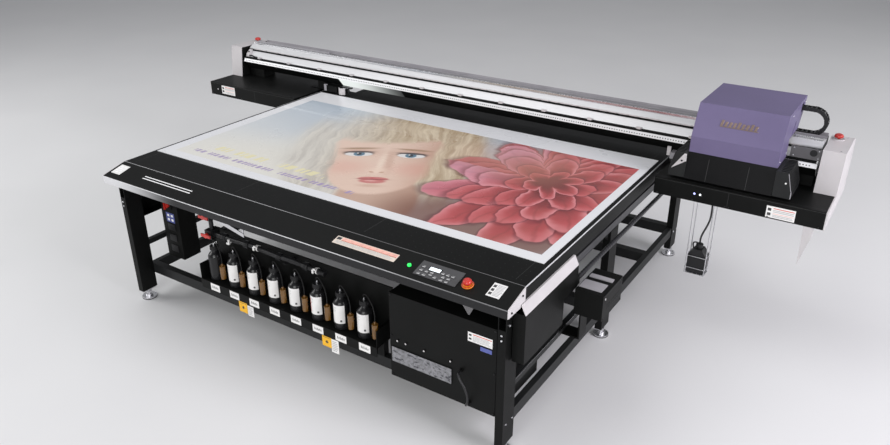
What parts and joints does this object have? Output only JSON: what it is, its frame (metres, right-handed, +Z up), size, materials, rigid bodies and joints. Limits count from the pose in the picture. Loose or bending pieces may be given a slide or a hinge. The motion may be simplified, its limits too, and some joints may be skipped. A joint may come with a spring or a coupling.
{
  "type": "flatbed uv printer",
  "caption": "Large-format flatbed UV printer: steel table with a vacuum bed and sloped front panel, a travelling gantry with a print carriage, and ink bottles under the bed.",
  "frame": {"origin": "on the floor under the middle of the machine's footprint", "axes": "+X to the operator's right along the gantry beam, +Y from the operation panel towards the rear, +Z up"},
  "size_m": [4.336, 2.45, 1.25],
  "materials": {
    "black": "satin black powder coat",
    "graphite": "dark grey powder coat",
    "white": "satin white powder coat",
    "greymetal": "grey powder coat",
    "alu": "clear anodised",
    "steel": "ground steel",
    "lavender": "satin lavender grey paint",
    "blackplastic": "matte black",
    "keypad": "matte film",
    "red": "gloss red",
    "lamp": "lit green lens",
    "label": "printed label",
    "bottle": "black bottle with a white label",
    "amber": "amber plastic",
    "rubber": "belt rubber",
    "media": "white board, printed"
  },
  "bodies": {
    "machine": {"frame_legs": "black", "frame_beams": "black", "lower_rails": "graphite", "vacuum_bed": "black", "edge_trim": "alu", "front_panel": "black", "side_trim": "white", "keypad_panel": "keypad", "status_lamp": "lamp", "front_estop_collar": "label", "side_skirts": "graphite", "linear_rails": "steel", "screw_motors": "graphite", "ink_tray": "black", "ink_label_plates": "label", "sub_tanks": "amber", "power_box": "black", "electric_cabinet": "black", "vacuum_blower": "greymetal", "vacuum_pipes": "blackplastic", "levelling_feet": "steel", "loop_cable": "blackplastic"},
    "front_estop": {"front_estop_button": "red"},
    "left_screw": {"left_screw": "steel"},
    "right_screw": {"right_screw": "steel"},
    "ink_bottle_1": {"ink_bottle_1": "bottle"},
    "ink_bottle_2": {"ink_bottle_2": "bottle"},
    "ink_bottle_3": {"ink_bottle_3": "bottle"},
    "ink_bottle_4": {"ink_bottle_4": "bottle"},
    "ink_bottle_5": {"ink_bottle_5": "bottle"},
    "ink_bottle_6": {"ink_bottle_6": "bottle"},
    "ink_bottle_7": {"ink_bottle_7": "bottle"},
    "ink_bottle_8": {"ink_bottle_8": "bottle"},
    "upper_valve_handle": {"valve_handle_upper": "red"},
    "lower_valve_handle": {"valve_handle_lower": "red"},
    "power_switch": {"power_switch": "red"},
    "media": {"media_sheet": "media"},
    "gantry": {"gantry_beam": "alu", "carriage_rails": "steel", "end_caps": "white", "wing_housings": "black", "side_plates": "white", "saddles": "steel", "gantry_posts": "black", "waste_bottle": "steel", "cable_tray": "greymetal", "drive_belt": "rubber", "beam_motor": "graphite"},
    "drive_pulley": {"drive_pulley": "alu"},
    "idler_pulley": {"idler_pulley": "alu"},
    "capping": {"capping_station": "blackplastic"},
    "wiper": {"wiper": "blackplastic"},
    "left_estop": {"left_estop_button": "red"},
    "right_estop": {"right_estop_button": "red"},
    "carriage": {"carriage_plate": "alu", "carriage_cover": "lavender", "lower_housing": "black", "uv_lamps": "graphite", "chain_bend": "blackplastic"},
    "heads": {"head_unit": "steel"}
  },
  "joints": [
    {"name": "gantry_travel", "type": "slide", "parent": "machine", "child": "gantry", "axis": [0, 1, 0], "range_m": [-1.3, 0]},
    {"name": "carriage_travel", "type": "slide", "parent": "gantry", "child": "carriage", "axis": [1, 0, 0], "range_m": [-3.3, 0]},
    {"name": "head_lift", "type": "slide", "parent": "carriage", "child": "heads", "axis": [0, 0, 1], "range_m": [0, 0.05]},
    {"name": "left_screw_spin", "type": "hinge", "parent": "machine", "child": "left_screw", "pos_m": [-1.278, 0, 0.64], "axis": [0, 1, 0], "continuous": true},
    {"name": "right_screw_spin", "type": "hinge", "parent": "machine", "child": "right_screw", "pos_m": [1.278, 0, 0.64], "axis": [0, 1, 0], "continuous": true},
    {"name": "drive_pulley_spin", "type": "hinge", "parent": "gantry", "child": "drive_pulley", "pos_m": [2.01, 0.775, 1.039], "axis": [0, 1, 0], "continuous": true},
    {"name": "idler_pulley_spin", "type": "hinge", "parent": "gantry", "child": "idler_pulley", "pos_m": [-2.01, 0.775, 1.039], "axis": [0, 1, 0], "continuous": true},
    {"name": "capping_lift", "type": "slide", "parent": "gantry", "child": "capping", "axis": [0, 0, 1], "range_m": [-0.02, 0]},
    {"name": "wiper_stroke", "type": "slide", "parent": "gantry", "child": "wiper", "axis": [0, 1, 0], "range_m": [0, 0.1]},
    {"name": "front_estop_press", "type": "slide", "parent": "machine", "child": "front_estop", "axis": [0, 0.2441, -0.9697], "range_m": [0, 0.005], "stiffness_N_per_m": 1500},
    {"name": "left_estop_press", "type": "slide", "parent": "gantry", "child": "left_estop", "axis": [0, 0, -1], "range_m": [0, 0.005], "stiffness_N_per_m": 1500},
    {"name": "right_estop_press", "type": "slide", "parent": "gantry", "child": "right_estop", "axis": [0, 0, -1], "range_m": [0, 0.005], "stiffness_N_per_m": 1500},
    {"name": "upper_valve_turn", "type": "hinge", "parent": "machine", "child": "upper_valve_handle", "pos_m": [-0.588, -1.13, 0.698], "axis": [0, -1, 0], "range_deg": [0, 90]},
    {"name": "lower_valve_turn", "type": "hinge", "parent": "machine", "child": "lower_valve_handle", "pos_m": [-0.588, -1.13, 0.59], "axis": [0, -1, 0], "range_deg": [0, 90]},
    {"name": "power_switch_turn", "type": "hinge", "parent": "machine", "child": "power_switch", "pos_m": [-1.095, -0.99, 0.585], "axis": [0, -1, 0], "range_deg": [0, 90]},
    {"name": "ink_bottle_1_pull", "type": "slide", "parent": "machine", "child": "ink_bottle_1", "axis": [0, -1, 0], "range_m": [0, 0.12]},
    {"name": "ink_bottle_2_pull", "type": "slide", "parent": "machine", "child": "ink_bottle_2", "axis": [0, -1, 0], "range_m": [0, 0.12]},
    {"name": "ink_bottle_3_pull", "type": "slide", "parent": "machine", "child": "ink_bottle_3", "axis": [0, -1, 0], "range_m": [0, 0.12]},
    {"name": "ink_bottle_4_pull", "type": "slide", "parent": "machine", "child": "ink_bottle_4", "axis": [0, -1, 0], "range_m": [0, 0.12]},
    {"name": "ink_bottle_5_pull", "type": "slide", "parent": "machine", "child": "ink_bottle_5", "axis": [0, -1, 0], "range_m": [0, 0.12]},
    {"name": "ink_bottle_6_pull", "type": "slide", "parent": "machine", "child": "ink_bottle_6", "axis": [0, -1, 0], "range_m": [0, 0.12]},
    {"name": "ink_bottle_7_pull", "type": "slide", "parent": "machine", "child": "ink_bottle_7", "axis": [0, -1, 0], "range_m": [0, 0.12]},
    {"name": "ink_bottle_8_pull", "type": "slide", "parent": "machine", "child": "ink_bottle_8", "axis": [0, -1, 0], "range_m": [0, 0.12]},
    {"name": "media_lift", "type": "slide", "parent": "machine", "child": "media", "axis": [0, 0, 1], "range_m": [0, 0.3]}
  ],
  "couplings": [
    {"joint": "left_screw_spin", "follows": "gantry_travel", "rad_per_m": 251.33},
    {"joint": "right_screw_spin", "follows": "gantry_travel", "rad_per_m": 251.33},
    {"joint": "drive_pulley_spin", "follows": "carriage_travel", "rad_per_m": 50},
    {"joint": "idler_pulley_spin", "follows": "carriage_travel", "rad_per_m": 50}
  ]
}
